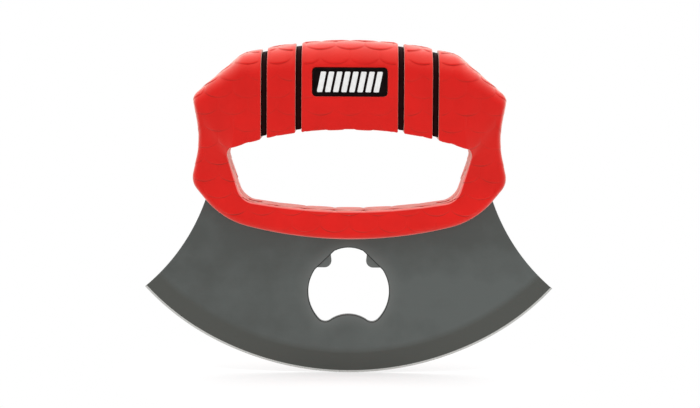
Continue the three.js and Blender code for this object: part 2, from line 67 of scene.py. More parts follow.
# Bottle opener in the blade
OPENER_HEIGHT = 30.63
OPENER_RADIUS = 15.08
OPENER_ROOF = 16.52
OPENER_ROOF_RADIUS = 12.0
OPENER_ROOF_SPAN = 10.8
OPENER_SIDE_TOP = 8.22
OPENER_SILL = 8.53
OPENER_SILL_RADIUS = 12.0
OPENER_LOBE_RADIUS = 3.2
TAB_SPAN = 12.3
TAB_ROOT_SPAN = 13.5
TAB_LIFT = 0.7
TAB_TIP_RADIUS = 2.6
TAB_ROOT_RADIUS = 1.1
TAB_THICKNESS = 1.4

# Handle outline: heights, then spans and radii, and falls in degrees
BAR_HEIGHT = 10.45
FINGER_HEIGHT = 30.43
GRIP_HEIGHT = 32.5
GRIP_TOP_RADIUS = 154.0
GRIP_FALL = 13.5
BREAK_SPAN = 79.1
BREAK_RADIUS = 7.0
SHOULDER_SPAN = 115.8
SHOULDER_DROP = 20.8
SHOULDER_RADIUS = 4.5
WAIST_SPAN = 109.75
WAIST_DROP = 4.2
WAIST_RADIUS = 35.0
BULGE_SPAN = 116.9
BULGE_RISE = 10.55
BULGE_RADIUS = 7.0
HEEL_SPAN = 94.0
HEEL_RADIUS = 30.0
BAR_RADIUS = 156.0
BAR_FALL = 14.0
FINGER_TOP_RADIUS = 138.0
FINGER_FALL = 17.0
FINGER_TOP_SPAN = 91.4
FINGER_TOP_CORNER = 3.0
FINGER_SILL_RADIUS = 205.0
FINGER_SILL_FALL = 9.0
FINGER_SILL_SPAN = 79.3
FINGER_SILL_CORNER = 7.0
FINGER_BOTTOM = BLADE_DEPTH + BAR_HEIGHT
FINGER_TOP = FINGER_BOTTOM + FINGER_HEIGHT
HANDLE_TOP = FINGER_TOP + GRIP_HEIGHT

# Handle sections
GRIP_THICKNESS = 28.0
BAR_THICKNESS = 18.0
GRIP_SWELL = 2.0  # how late the bar's thickness grows to the grip's, as a power of the height
CROWN_RADIUS = 11.0  # rounding of the grip on the palm's side
CROWN_FADE = 6.0  # how fast that runs out down the shoulders, as a power of their height
BAR_EDGE_RADIUS = 2.2
FINGER_EDGE_RADIUS = 0.6  # rounding all round the finger opening
EDGE_LEFT = 0.4  # least rounding left on surfaces that lie deeper

# Skin, and the core that shows in its stripes
SKIN_WALL = 2.4
SKIN_LIP = 0.55  # rounding of the skin along the stripes
LIP_STEPS = 4
STRIPE_WIDTH = 2.2
STRIPE_RECESS = 1.1
INNER_STRIPE_SPAN = 37.5
OUTER_STRIPE_SPAN = 62.8
CORE_INSET = 2.7
HOOP_REACH = 0.95  # half the width of one hoop of the core
HOOP_BEVEL = 0.15

# Scales moulded into the skin: they hang down and overlap like roof tiles
SCALE_WIDTH = 10.7
SCALE_PITCH = 6.2
SCALE_START = 1.4  # height at which a row of scales, with one on the middle line, would begin
SCALE_BOW = 3.4  # from the corners of a scale down to its lowest point
SCALE_STEP = 0.5
FLAT_RELIEF = 0.8  # most of the scales' relief that is left on the flat faces of the grip
BAR_RELIEF = 1.0  # the same on those of the lower bar
WORN_RELIEF = 0.3  # share of that left where the faces are most worn
WEAR_WAVES = ((0.37, 0.6), (0.23, -0.45))  # radians per millimetre, across and up, of two crossed waves
SCALE_SINK = 0.25  # how far the sheet that carries the scales lies below the skin's plain surface
SCALE_BLUR = 0.17  # half the width over which the step at a scale's rim falls
SCALE_FADE = 0.9  # how far from a lip or the badge the scales run out
LEAST_BOW = 0.02  # keeps the corners of a scale from ending upright

# Badge let into the front of the grip
BADGE_WIDTH = 27.3
BADGE_HEIGHT = 10.35
BADGE_CORNER = 1.4
BADGE_RISE = 1.1
BADGE_GAP = 0.2
BADGE_SINK = 0.15
POCKET_DEPTH = 1.9
POCKET_LIP = 0.22  # how far the skin rolls in at the edge of the pocket

# Fineness of the meshes: pitch along the handle, and steps in each run of a section
RING_PITCH = 0.34
FACE_STEPS = 50
CROWN_STEPS = 54
CREST_STEPS = 12
EDGE_STEPS = 6
ROOF_STEPS = 26
CORNER_STEPS = 24
BADGE_STEPS = 8
BAR_STEPS = 5

LEFT_RIGHT = np.array([-1.0, 1.0])  # mirrors a point of the XZ plane


def smoothstep(value, low, high):
    t = np.clip((value - low) / (high - low), 0, 1)
    return t * t * (3 - 2 * t)


def unit(v):
    return v / np.linalg.norm(v)


def point(x, z):
    return np.array([x, z], float)


def angle_of(v):
    return math.atan2(v[1], v[0])


def arc(centre, radius, start, end, steps=CORNER_STEPS):
    angle = np.linspace(start, end, steps + 1)
    return centre + radius * np.column_stack([np.cos(angle), np.sin(angle)])


def rounded_corners(chain, steps=CORNER_STEPS):
    """The arcs that round a chain of (corner, radius) between its two ends. Where two of them share a run
    that is too short for both, each gives way in proportion."""
    corners = [corner for corner, _ in chain]
    half, reach = [0.0], [0.0]
    for before, at, after, (_, radius) in zip(corners, corners[1:], corners[2:], chain[1:]):
        half.append(math.acos(np.clip(unit(before - at) @ unit(after - at), -1, 1)) / 2)
        reach.append(radius / math.tan(half[-1]))
    reach.append(0.0)
    runs = [np.linalg.norm(b - a) for a, b in zip(corners, corners[1:])]
    share = [min(1.0, run / max(a + b, SAME_POINT)) for run, a, b in zip(runs, reach, reach[1:])]
    arcs = []
    for i in range(1, len(chain) - 1):
        back, on = unit(corners[i - 1] - corners[i]), unit(corners[i + 1] - corners[i])
        fits = reach[i] * min(share[i - 1], share[i])
        centre = corners[i] + unit(back + on) * fits / math.cos(half[i])
        first, last = corners[i] + back * fits - centre, corners[i] + on * fits - centre
        sweep = math.atan2(first[0] * last[1] - first[1] * last[0], first @ last)
        arcs.append(arc(centre, np.linalg.norm(first), angle_of(first), angle_of(first) + sweep, steps))
    return arcs


class Outline:
    """The right half of a rounded outline, measured along its length from the middle line at the top."""

    def __init__(self, corners):
        chain = [(at, radius) for _, at, radius in corners]
        before, after = (chain[1][0] * LEFT_RIGHT, 0), (chain[-2][0] * LEFT_RIGHT, 0)
        arcs = rounded_corners([before, *chain, after])
        centre = CORNER_STEPS // 2
        kept = [slice(centre, None)] + [slice(None)] * (len(arcs) - 2) + [slice(None, centre + 1)]
        self.points = np.concatenate([a[part] for a, part in zip(arcs, kept)])
        steps = np.linalg.norm(np.diff(self.points, axis=0), axis=1)
        self.length = np.concatenate([[0], np.cumsum(steps)])
        # Where each named rounding starts, is half way and ends
        self.marks = {}
        first = -centre
        for name, _, _ in corners:
            places = np.clip([first, first + centre, first + CORNER_STEPS], 0, len(self.points) - 1)
            self.marks[name] = self.length[places]
            first += CORNER_STEPS + 1

    def at(self, length):
        return np.column_stack([np.interp(length, self.length, self.points[:, k]) for k in (0, 1)])

    def reaches(self, x):
        """Length at which the outline, coming from the top, first reaches this x."""
        turns = int(np.argmax(np.diff(self.points[:, 0]) <= 0)) + 1
        return np.interp(x, self.points[:turns, 0], self.length[:turns])


def apex(height, radius, degrees, up):
    """Corner on the middle line under a curve, level at this height, that runs out into a straight fall."""
    return point(0, height + up * radius * (1 / math.cos(math.radians(degrees)) - 1))


def on_fall(top, span, degrees, up):
    return point(span / 2, top[1] - up * span / 2 * math.tan(math.radians(degrees)))


grip_apex = apex(HANDLE_TOP, GRIP_TOP_RADIUS, GRIP_FALL, 1)
bar_apex = apex(BLADE_DEPTH, BAR_RADIUS, BAR_FALL, -1)
outer = Outline([
    ("top", grip_apex, GRIP_TOP_RADIUS),
    ("break", on_fall(grip_apex, BREAK_SPAN, GRIP_FALL, 1), BREAK_RADIUS),
    ("shoulder", point(SHOULDER_SPAN / 2, HANDLE_TOP - SHOULDER_DROP), SHOULDER_RADIUS),
    ("waist", point(WAIST_SPAN / 2, FINGER_TOP - WAIST_DROP), WAIST_RADIUS),
    ("bulge", point(BULGE_SPAN / 2, FINGER_BOTTOM + BULGE_RISE), BULGE_RADIUS),
    ("heel", on_fall(bar_apex, HEEL_SPAN, BAR_FALL, -1), HEEL_RADIUS),
    ("bottom", bar_apex, BAR_RADIUS),
])
finger_apex = apex(FINGER_TOP, FINGER_TOP_RADIUS, FINGER_FALL, 1)
sill_apex = apex(FINGER_BOTTOM, FINGER_SILL_RADIUS, FINGER_SILL_FALL, -1)
inner = Outline([
    ("top", finger_apex, FINGER_TOP_RADIUS),
    ("upper", on_fall(finger_apex, FINGER_TOP_SPAN, FINGER_FALL, 1), FINGER_TOP_CORNER),
    ("lower", on_fall(sill_apex, FINGER_SILL_SPAN, FINGER_SILL_FALL, -1), FINGER_SILL_CORNER),
    ("sill", sill_apex, FINGER_SILL_RADIUS),
])


class Sections:
    """Cross sections of the handle, each from a point of its outline to one of the finger opening."""

    def __init__(self, out, into):
        self.out, self.into = out, into
        width = np.linalg.norm(into - out, axis=1)
        self.middle = (out + into) / 2
        self.inward = (into - out) / width[:, None]
        self.half_width = width / 2
        # How far each section has risen from the lower bar, 0, to the middle of the grip bar, 1
        self.rise = smoothstep(self.middle[:, 1], FINGER_BOTTOM, FINGER_TOP + GRIP_HEIGHT / 2)
        self.half_thickness = (BAR_THICKNESS + (GRIP_THICKNESS - BAR_THICKNESS) * self.rise ** GRIP_SWELL) / 2
        self.crown = BAR_EDGE_RADIUS + (CROWN_RADIUS - BAR_EDGE_RADIUS) * self.rise ** CROWN_FADE

    def __len__(self):
        return len(self.out)

    def __getitem__(self, rows):
        return Sections(self.out[rows], self.into[rows])

    def __add__(self, other):
        return Sections(np.concatenate([self.out, other.out]), np.concatenate([self.into, other.into]))

    def mirrored(self):
        return Sections((self.out * LEFT_RIGHT)[::-1], (self.into * LEFT_RIGHT)[::-1])

    def on_sheet(self, across):
        """Points of the XZ plane at these distances from each section's middle towards the finger opening."""
        return self.middle[:, None, :] + self.inward[:, None, :] * across[:, :, None]


def grip_sections(x):
    """Upright sections through the grip bar at these x."""
    x = np.asarray(x, float)
    tops = outer.at(outer.reaches(np.abs(x)))[:, 1]
    bottoms = inner.at(inner.reaches(np.abs(x)))[:, 1]
    return Sections(np.column_stack([x, tops]), np.column_stack([x, bottoms]))


def leg_sections(start_x):
    """Sections from the grip bar at this x on the right, round the leg, to the middle of the lower bar."""
    start, middle, end = range(3)
    o, i = outer.marks, inner.marks
    stations = np.array([
        (outer.reaches(start_x), inner.reaches(start_x)),
        (o["break"][middle], i["upper"][start]),
        (o["shoulder"][middle], i["upper"][middle]),
        (o["waist"][middle], i["upper"][end]),
        (o["bulge"][middle], i["lower"][start]),
        (o["heel"][middle], i["lower"][middle]),
        (o["heel"][end], i["lower"][end]),
        (o["bottom"][middle], i["sill"][middle]),
    ])
    counts = np.ceil(np.diff(stations, axis=0).max(axis=1) / RING_PITCH).astype(int)
    places = np.concatenate([np.arange(n) / n + k for k, n in enumerate(counts)] + [[len(counts)]])
    at = [np.interp(places, np.arange(len(stations)), stations[:, k]) for k in (0, 1)]
    return Sections(outer.at(at[0]), inner.at(at[1]))


def section_outlines(sections, insets):
    """Outlines of the sections, each moved in by its inset: the distance across towards the finger opening,
    y, the outward normal in these two, and the length round from the middle of the face, the same on front
    and back."""
    inset = np.asarray(insets, float)[:, None]
    w = sections.half_width[:, None] - inset
    t = sections.half_thickness[:, None] - inset
    fingers = np.maximum(FINGER_EDGE_RADIUS - inset, EDGE_LEFT)
    palm = np.clip(sections.crown[:, None] - inset, EDGE_LEFT, np.minimum(w, t))
    quarter = math.pi / 2
    face_in, face_out = w - fingers, palm - w
    bend_in, bend_out = face_in + fingers * quarter, face_out - palm * quarter
    roof, crest = bend_in + t - fingers, bend_out - t + palm

    def flat(start, end, normal, steps):
        share = np.arange(steps) / steps
        values = [a + (b - a) * share for a, b in zip(start, end)]
        return [*values[:2], *(n + 0 * values[0] for n in normal), values[2]]

    def corner(centre, radius, turn, lengths, steps):
        share = np.arange(steps) / steps
        normal = [f((turn + share) * quarter) + 0 * radius for f in (np.cos, np.sin)]
        length = lengths[0] + (lengths[1] - lengths[0]) * share
        return [centre[0] + radius * normal[0], centre[1] + radius * normal[1], *normal, length]

    runs = [
        flat((face_out, -t, face_out), (face_in, -t, face_in), (0, -1), FACE_STEPS),
        corner((face_in, fingers - t), fingers, 3, (face_in, bend_in), EDGE_STEPS),
        flat((w, fingers - t, bend_in), (w, 0 * t, roof), (1, 0), ROOF_STEPS),
        flat((w, 0 * t, roof), (w, t - fingers, bend_in), (1, 0), ROOF_STEPS),
        corner((face_in, t - fingers), fingers, 0, (bend_in, face_in), EDGE_STEPS),
        flat((face_in, t, face_in), (face_out, t, face_out), (0, 1), FACE_STEPS),
        corner((face_out, t - palm), palm, 1, (face_out, bend_out), CROWN_STEPS),
        flat((-w, t - palm, bend_out), (-w, 0 * t, crest), (-1, 0), CREST_STEPS),
        flat((-w, 0 * t, crest), (-w, palm - t, bend_out), (-1, 0), CREST_STEPS),
        corner((face_out, palm - t), palm, 2, (bend_out, face_out), CROWN_STEPS),
    ]
    return [np.concatenate([run[k] for run in runs], axis=1) for k in range(5)]


def worn(u, v):
    """How much of the relief is left here, in smooth patches."""
    one, other = (np.sin(across * u + up * v) for across, up in WEAR_WAVES)
    return WORN_RELIEF + (1 - WORN_RELIEF) * (1 + one * other) / 2


def scales(u, v):
    """Height of the overlapping scales over a flat sheet."""
    height = np.zeros_like(u)
    v = v - SCALE_START
    lowest = math.floor(v.min() / SCALE_PITCH) - 1
    highest = math.ceil((v.max() + SCALE_BOW) / SCALE_PITCH) + 1
    for row in range(lowest, highest + 1):
        place = u / SCALE_WIDTH + row / 2
        off = place - np.round(place)
        bow = np.sqrt(np.maximum(1 - (2 * off) ** 2, LEAST_BOW))
        rim = row * SCALE_PITCH - SCALE_BOW * bow
        slope = 4 * SCALE_BOW / SCALE_WIDTH * off / bow
        above = (v - rim) / np.hypot(1, slope)
        over = smoothstep(above, -SCALE_BLUR, SCALE_BLUR)
        tilt = 1 - np.clip((v - rim) / (SCALE_PITCH + SCALE_BOW), 0, 1)
        height += (SCALE_STEP * tilt * bow - height) * over
    return height


BADGE_MIDDLE = (FINGER_TOP + HANDLE_TOP) / 2 + BADGE_RISE


def from_badge(u, v):
    """Distance from the badge's outline, outwards."""
    x = np.maximum(np.abs(u) - BADGE_WIDTH / 2 + BADGE_CORNER, 0)
    z = np.maximum(np.abs(v - BADGE_MIDDLE) - BADGE_HEIGHT / 2 + BADGE_CORNER, 0)
    return np.hypot(x, z) - BADGE_CORNER


class Patchwork:
    """Vertices and faces of one mesh, in millimetres, gathered patch by patch."""

    def __init__(self):
        self.vertices, self.faces, self.finishes = [], [], []

    def add(self, vertices, faces, finish=0):
        start = len(self.vertices)
        self.vertices.extend(map(tuple, vertices))
        self.faces.extend([start + i for i in face] for face in faces)
        self.finishes.extend([finish] * len(faces))

    def grid(self, rows, finish=0, closed=False):
        """Quads over rows of points, which may join round at their ends."""
        rows = np.asarray(rows, float)
        count, width = rows.shape[:2]
        i, j = np.meshgrid(np.arange(count - 1), np.arange(width if closed else width - 1), indexing="ij")
        on = (j + 1) % width
        quads = np.stack([i * width + j, i * width + on, (i + 1) * width + on, (i + 1) * width + j], axis=-1)
        self.add(rows.reshape(-1, 3), quads.reshape(-1, 4).tolist(), finish)

    def fill(self, loops, y, finish=0):
        """A flat face at this y inside the first loop of the XZ plane and outside the others."""
        flat = [[Vector((x, 0, z)) for x, z in loop] for loop in loops]
        vertices = [(x, y, z) for loop in loops for x, z in loop]
        self.add(vertices, tessellate_polygon(flat), finish)

    def build(self, name, finishes, sharp_degrees):
        mesh = bpy.data.meshes.new(name)
        mesh.from_pydata([[MM * c for c in v] for v in self.vertices], [], self.faces)
        for finish in finishes:
            mesh.materials.append(finish.material)
        mesh.polygons.foreach_set("material_index", self.finishes)
        tidy_mesh(mesh, sharp_degrees, weld=True)
        return add_piece(name, mesh)


def tidy_mesh(mesh, sharp_degrees, weld=False):
    """Smooth shading with sharp edges where faces meet at more than this angle."""
    work = bmesh.new()
    work.from_mesh(mesh)
    if weld:
        bmesh.ops.remove_doubles(work, verts=work.verts, dist=WELD * MM)
        bmesh.ops.recalc_face_normals(work, faces=work.faces)
    for face in work.faces:
        face.smooth = True
    for edge in work.edges:
        edge.smooth = edge.calc_face_angle(0) < math.radians(sharp_degrees)
    work.to_mesh(mesh)
    work.free()


def add_piece(name, mesh):
    piece = bpy.data.objects.new(name, mesh)
    bpy.context.scene.collection.objects.link(piece)
    return piece


def at_y(points, y):
    points = np.asarray(points, float)
    return np.column_stack([points[:, 0], np.full(len(points), y) if np.isscalar(y) else y, points[:, 1]])


def carry(mesh, name, *parts):
    """Gives each vertex three numbers, under this name, for its finish to read."""
    attribute = mesh.attributes.new(name, "FLOAT_VECTOR", "POINT")
    attribute.data.foreach_set("vector", np.stack(parts, axis=-1).ravel())


WALL_FACING = (-0.8, -0.2)  # upward part of the normal over which the opening's walls set in below its roof


def add_tube(name, sections, insets, finish, lift=None):
    """A closed tube through these sections, the last joined to the first. lift gives, for points of the
    unrolled sheet, their y and how far they face towards the finger opening, the surface's height and the
    scales' strength."""
    across, y, out_across, out_y, length = section_outlines(sections, insets)
    if lift:
        u, v = np.moveaxis(sections.on_sheet(length), -1, 0)
        raised, strength = lift(u, v, y, out_across)
        across, y = across + out_across * raised, y + out_y * raised
    place = sections.on_sheet(across)
    vertices = np.stack([place[..., 0], y, place[..., 1]], axis=-1)
    patch = Patchwork()
    patch.grid(np.concatenate([vertices, vertices[:1]]), closed=True)
    mesh = bpy.data.meshes.new(name)
    rows, columns = across.shape
    faces = (np.array(patch.faces) % (rows * columns)).tolist()
    mesh.from_pydata((vertices.reshape(-1, 3) * MM).tolist(), [], faces)
    mesh.materials.append(finish.material)
    if lift:
        carry(mesh, "sheet", u, v, strength)
        # Masks of painted light: the first, for a painted highlight, is largest half way round the finger
        # opening's edge, the second, for lighter walls, on its walls
        wall = np.maximum(out_across, 0) * smoothstep(sections.inward[:, 1:], *WALL_FACING)
        carry(mesh, "fingers", 2 * wall * np.abs(out_y), wall ** 4, 0 * wall)
    tidy_mesh(mesh, sharp_degrees=50)
    work = bmesh.new()
    work.from_mesh(mesh)
    if work.calc_volume(signed=True) < 0:
        bmesh.ops.reverse_faces(work, faces=work.faces)
    work.to_mesh(mesh)
    work.free()
    return add_piece(name, mesh)


# How the skin rolls over where a stripe parts it: distance in from its end, and depth below its surface
LIP_TURN = np.linspace(0, math.pi / 2, LIP_STEPS + 1)
LIP_ALONG = SKIN_LIP * (1 - np.cos(LIP_TURN))
LIP_DEPTH = SKIN_LIP * (1 - np.sin(LIP_TURN))
UNDERSIDE_STRIDE = 6  # sections per facet on the hidden side of the skin


def add_skin(name, sections, finish):
    """A length of the skin, rolled over at both ends and closed underneath."""
    count = len(sections)
    depth = np.zeros(count)
    depth[: LIP_STEPS + 1] = LIP_DEPTH
    depth[-LIP_STEPS - 1:] = LIP_DEPTH[::-1]
    along = np.concatenate([[0], np.cumsum(np.linalg.norm(np.diff(sections.middle, axis=0), axis=1))])
    from_end = np.minimum(along, along[-1] - along) - SKIN_LIP
    under = np.unique(np.r_[0:count:UNDERSIDE_STRIDE, count - 1])[::-1]
    fade = np.concatenate([smoothstep(from_end, 0, SCALE_FADE), np.zeros(len(under))])[:, None]
    whole = sections + sections[under]
    of_bar = 1 - whole.rise[:, None]

    def lift(u, v, y, to_fingers):
        badge = smoothstep(np.where(y < 0, from_badge(u, v), SCALE_FADE), BADGE_GAP, SCALE_FADE)
        flat = (FLAT_RELIEF + (BAR_RELIEF - FLAT_RELIEF) * of_bar) * worn(u, v)
        strength = fade * badge * (flat + (1 - flat) * np.abs(to_fingers))
        strength *= 1 - of_bar * np.maximum(-to_fingers, 0)
        roll = POCKET_LIP * (1 - badge) * (fade > 0)
        return (scales(u, v) - SCALE_SINK) * strength - roll, strength

    insets = np.concatenate([depth, np.full(len(under), SKIN_WALL)])
    return add_tube(name, whole, insets, finish, lift)


def skin_stretch(start, end):
    """Upright sections from one x to another, with those that the rolled ends need."""
    inside = np.arange(start + SKIN_LIP + RING_PITCH, end - SKIN_LIP - RING_PITCH / 2, RING_PITCH)
    return grip_sections(np.concatenate([start + LIP_ALONG, inside, end - LIP_ALONG[::-1]]))


def rounded_rectangle(grow):
    """Outline of the badge, grown by this much."""
    x, z = BADGE_WIDTH / 2 + grow, BADGE_HEIGHT / 2 + grow
    corners = [point(a * x, b * z) for a, b in ((1, 1), (1, -1), (-1, -1), (-1, 1))]
    chain = [(c, BADGE_CORNER + grow) for c in (corners[-1], *corners, corners[0])]
    return np.concatenate(rounded_corners(chain, BADGE_STEPS)) + point(0, BADGE_MIDDLE)


def prism(name, outline, front, back):
    patch = Patchwork()
    patch.grid([at_y(outline, front), at_y(outline, back)], closed=True)
    patch.fill([outline], front)
    patch.fill([outline], back)
    return patch.build(name, [], sharp_degrees=30)


def cut(piece, tool, sharp_degrees):
    """Takes the tool's solid away from the piece and deletes the tool."""
    modifier = piece.modifiers.new("cut", "BOOLEAN")
    modifier.operation = "DIFFERENCE"
    modifier.solver = "EXACT"
    modifier.object = tool
    graph = bpy.context.evaluated_depsgraph_get()
    mesh = bpy.data.meshes.new_from_object(piece.evaluated_get(graph))
    piece.modifiers.clear()
    piece.data = mesh
    bpy.data.objects.remove(tool)
    tidy_mesh(mesh, sharp_degrees)


class Finish:
    """A material round one principled shader, patterned in the piece's own coordinates."""

    def __init__(self, name, colour, roughness, metallic=0.0, specular=0.5):
        self.material = bpy.data.materials.new(name)
        self.material.use_nodes = True
        self.tree = self.material.node_tree
        self.shader = self.tree.nodes["Principled BSDF"]
        self.set(self.shader, {
            "Base Color": (*colour, 1), "Roughness": roughness, "Metallic": metallic,
            "Specular IOR Level": specular,
        })
        self.place = self.node("ShaderNodeTexCoord").outputs["Object"]

    def set(self, node, inputs):
        for key, value in inputs.items():
            if isinstance(value, bpy.types.NodeSocket):
                self.tree.links.new(value, node.inputs[key])
            else:
                node.inputs[key].default_value = value

    def node(self, kind, inputs=None, **settings):
        node = self.tree.nodes.new(kind)
        for key, value in settings.items():
            setattr(node, key, value)
        self.set(node, inputs or {})
        return node

    def noise(self, size, detail=3.0, stretch=(1, 1, 1), turn=(0, 0, 0)):
        """Soft noise with features about this many millimetres across, times the stretch along each axis."""
        scale = tuple(1 / (size * MM * s) for s in stretch)
        mapping = self.node("ShaderNodeMapping", {"Vector": self.place, "Scale": scale, "Rotation": turn})
        noise = {"Vector": mapping.outputs[0], "Scale": 1.0, "Detail": detail, "Roughness": 0.55}
        return self.node("ShaderNodeTexNoise", noise).outputs["Fac"]

    def math(self, operation, *values):
        return self.node("ShaderNodeMath", dict(enumerate(values)), operation=operation).outputs[0]

    def parts(self, vector):
        return self.node("ShaderNodeSeparateXYZ", {0: vector}).outputs[:]

    def carried(self, name):
        """The three numbers that the mesh carries under this name."""
        return self.parts(self.node("ShaderNodeAttribute", attribute_name=name).outputs["Vector"])

    def spread(self, value, low, high, start=0.3, end=0.7):
        """The value's range from start to end, laid out from low to high. Most noise lies from 0.3 to 0.7."""
        inputs = {"Value": value, "From Min": start, "From Max": end, "To Min": low, "To Max": high}
        return self.node("ShaderNodeMapRange", inputs).outputs[0]

    def mix(self, factor, a, b):
        # A mix node takes colours in its sockets 6 and 7 and gives one in its output 2
        a, b = (c if isinstance(c, bpy.types.NodeSocket) else (*c, 1) for c in (a, b))
        return self.node("ShaderNodeMix", {0: factor, 6: a, 7: b}, data_type="RGBA").outputs[2]

    def paint(self, **sockets):
        self.set(self.shader, {key.replace("_", " ").title(): value for key, value in sockets.items()})

    def bump(self, height, depth):
        """Unevenness of this depth in millimetres where the height goes from 0 to 1."""
        bump = self.node("ShaderNodeBump", {"Height": height, "Distance": depth * MM, "Strength": 1.0})
        self.set(self.shader, {"Normal": bump.outputs[0]})


def scale_rims(finish):
    """Distance above the nearest rim of a scale in millimetres, how strongly it shows, and a number for each
    scale, from the sheet coordinates that the skin's mesh carries."""
    m = finish.math
    u, v, strength = finish.carried("sheet")
    rows = m("DIVIDE", m("SUBTRACT", v, SCALE_START), SCALE_PITCH)
    row = m("CEIL", rows)
    place = m("ADD", m("DIVIDE", u, SCALE_WIDTH), m("MULTIPLY", row, 0.5))
    off = m("SUBTRACT", place, m("ROUND", place))
    bow = m("SQRT", m("MAXIMUM", m("SUBTRACT", 1, m("MULTIPLY", 4, m("MULTIPLY", off, off))), LEAST_BOW))
    slope = m("MULTIPLY", 4 * SCALE_BOW / SCALE_WIDTH, m("DIVIDE", off, bow))
    drop = m("ADD", m("MULTIPLY", m("SUBTRACT", rows, row), SCALE_PITCH), m("MULTIPLY", bow, SCALE_BOW))
    above = m("DIVIDE", drop, m("SQRT", m("ADD", 1, m("MULTIPLY", slope, slope))))
    cell = finish.node("ShaderNodeCombineXYZ", {0: m("ROUND", place), 1: row}).outputs[0]
    scale_number = finish.node("ShaderNodeTexWhiteNoise", {"Vector": cell}).outputs["Value"]
    return above, m("MULTIPLY", strength, bow), scale_number


# Shades of the skin, its painted light and painted shade, as shares of the way from one red to another
BAR_PAINTED_LIGHT = 0.42  # painted light: how much lighter it is on the lower bar
CLOUD_LIGHT = 0.5  # the same in soft clouds all over
WALL_PAINTED_LIGHT = 0.6  # painted light, the same way, on the walls of the finger opening
EDGE_PAINTED_HIGHLIGHT = 0.85  # how light the painted highlight along the edge of that opening is
RIM_SHADE_LINE = 0.26  # reach of the painted shade, a dark line along the rim of a scale
RIM_SHADE_POWER = 1.5  # how fast that line fades where the relief is worn
RIM_SHADE_LEAST = 0.5  # strength of the line on the faintest scale

# Shades of the blade's coat, among them painted light and painted shade
COAT_BAR_SHADE = (34.0, 50.0)  # from which height to which painted shade makes it darker towards the bar
COAT_LIGHT_ACROSS = (-45.0, 25.0)  # from which x to which painted light makes it lighter
COAT_LIGHT_LEFT = 0.4  # share of that painted light at the left
COAT_CLOUDS = 0.35  # how much lighter or darker it is in soft clouds
OPENER_LIGHTER_REACH = 6.0  # how far round the opener it is lighter
OPENER_LIGHTER_POWER = 2.0  # how fast that fades
GRIND_FADE = (-1.8, 0.6)  # from how far before the main grind's start to how far past it gets darker


def red_rubber():
    finish = Finish("red_rubber", (0.65, 0.003, 0.004), 0.4, specular=0.15)
    finish.set(finish.shader, {
        "Specular Tint": (1.0, 0.95, 0.62, 1),
        "Sheen Weight": 0.85, "Sheen Roughness": 0.45, "Sheen Tint": (1.0, 0.88, 0.74, 1),
    })
    m = finish.math
    height = finish.parts(finish.place)[2]
    # Painted light: the skin is lighter low on the lower bar; soft clouds add its own uneven tone
    low = finish.spread(height, BAR_PAINTED_LIGHT, 0, FINGER_BOTTOM * MM, (FINGER_BOTTOM + BULGE_RISE) * MM)
    light = m("ADD", low, finish.spread(finish.noise(11), 0, CLOUD_LIGHT))
    base = finish.mix(light, (0.605, 0.002, 0.003), (0.74, 0.004, 0.005))
    edge_highlight, wall, _ = finish.carried("fingers")
    # Painted light on the walls of the finger opening
    base = finish.mix(m("MULTIPLY", wall, WALL_PAINTED_LIGHT), base, (1.0, 0.004, 0.005))
    # Painted highlight along the edge of the finger opening
    base = finish.mix(m("MULTIPLY", edge_highlight, EDGE_PAINTED_HIGHLIGHT), base, (1.0, 0.28, 0.26))
    # Painted shade: a dark line just under the rim of each scale, weaker where the relief is worn
    above, strength, scale_number = scale_rims(finish)
    near = finish.spread(m("ABSOLUTE", m("ADD", above, RIM_SHADE_LINE / 2)), 1, 0, 0, RIM_SHADE_LINE)
    rim_shade_weight = m("MULTIPLY", m("POWER", strength, RIM_SHADE_POWER), finish.spread(scale_number, RIM_SHADE_LEAST, 1, 0, 1))
    finish.paint(
        base_color=finish.mix(m("MULTIPLY", near, rim_shade_weight), base, (0.2, 0.002, 0.002)),
        roughness=finish.spread(finish.noise(0.9), 0.36, 0.46),
    )
    finish.bump(finish.noise(0.4, detail=2), 0.03)
    return finish


def black_plastic(name, dark, light):
    finish = Finish(name, dark, 0.6, specular=0.03)
    finish.paint(
        base_color=finish.mix(finish.spread(finish.noise(3), 0, 1), dark, light),
        roughness=finish.spread(finish.noise(0.7), 0.5, 0.7),
    )
    finish.bump(finish.noise(0.3, detail=2), 0.02)
    return finish


def white_plastic():
    finish = Finish("white_plastic", (0.8, 0.8, 0.79), 0.4)
    finish.paint(
        base_color=finish.mix(finish.spread(finish.noise(2), 0, 1), (0.76, 0.76, 0.75), (0.84, 0.84, 0.83)),
        roughness=finish.spread(finish.noise(0.6), 0.36, 0.5),
    )
    return finish


def from_centre(finish, height):
    """Distance in the blade's plane from a point of the middle line at this height, in millimetres."""
    m = finish.math
    x, _, z = finish.parts(finish.place)
    down = m("SUBTRACT", z, height * MM)
    return m("DIVIDE", m("SQRT", m("ADD", m("MULTIPLY", x, x), m("MULTIPLY", down, down))), MM)


def coat(name, dark, light):
    """A dark satin coat on steel, finely brushed. Painted shade darkens it towards the bar, so it is lightest
    low on the blade, and painted light makes it lightest to the right. Gives the finish and its colour, for
    more to be laid over it."""
    finish = Finish(name, light, 0.38, metallic=0.65)
    x, _, z = finish.parts(finish.place)
    # Painted shade: darker towards the bar
    clear_of_bar_shade = finish.spread(z, 1, 0, *(MM * height for height in COAT_BAR_SHADE))
    # Painted light: lighter to the right
    across = finish.spread(x, COAT_LIGHT_LEFT, 1, *(MM * reach for reach in COAT_LIGHT_ACROSS))
    cloud = finish.spread(finish.noise(12, detail=4), -COAT_CLOUDS, COAT_CLOUDS)
    colour = finish.mix(finish.math("ADD", finish.math("MULTIPLY", clear_of_bar_shade, across), cloud), dark, light)
    lines = finish.noise(0.22, detail=2, stretch=(60, 1, 1))
    finish.paint(base_color=colour, roughness=finish.spread(lines, 0.32, 0.44))
    finish.bump(lines, 0.004)
    return finish, colour


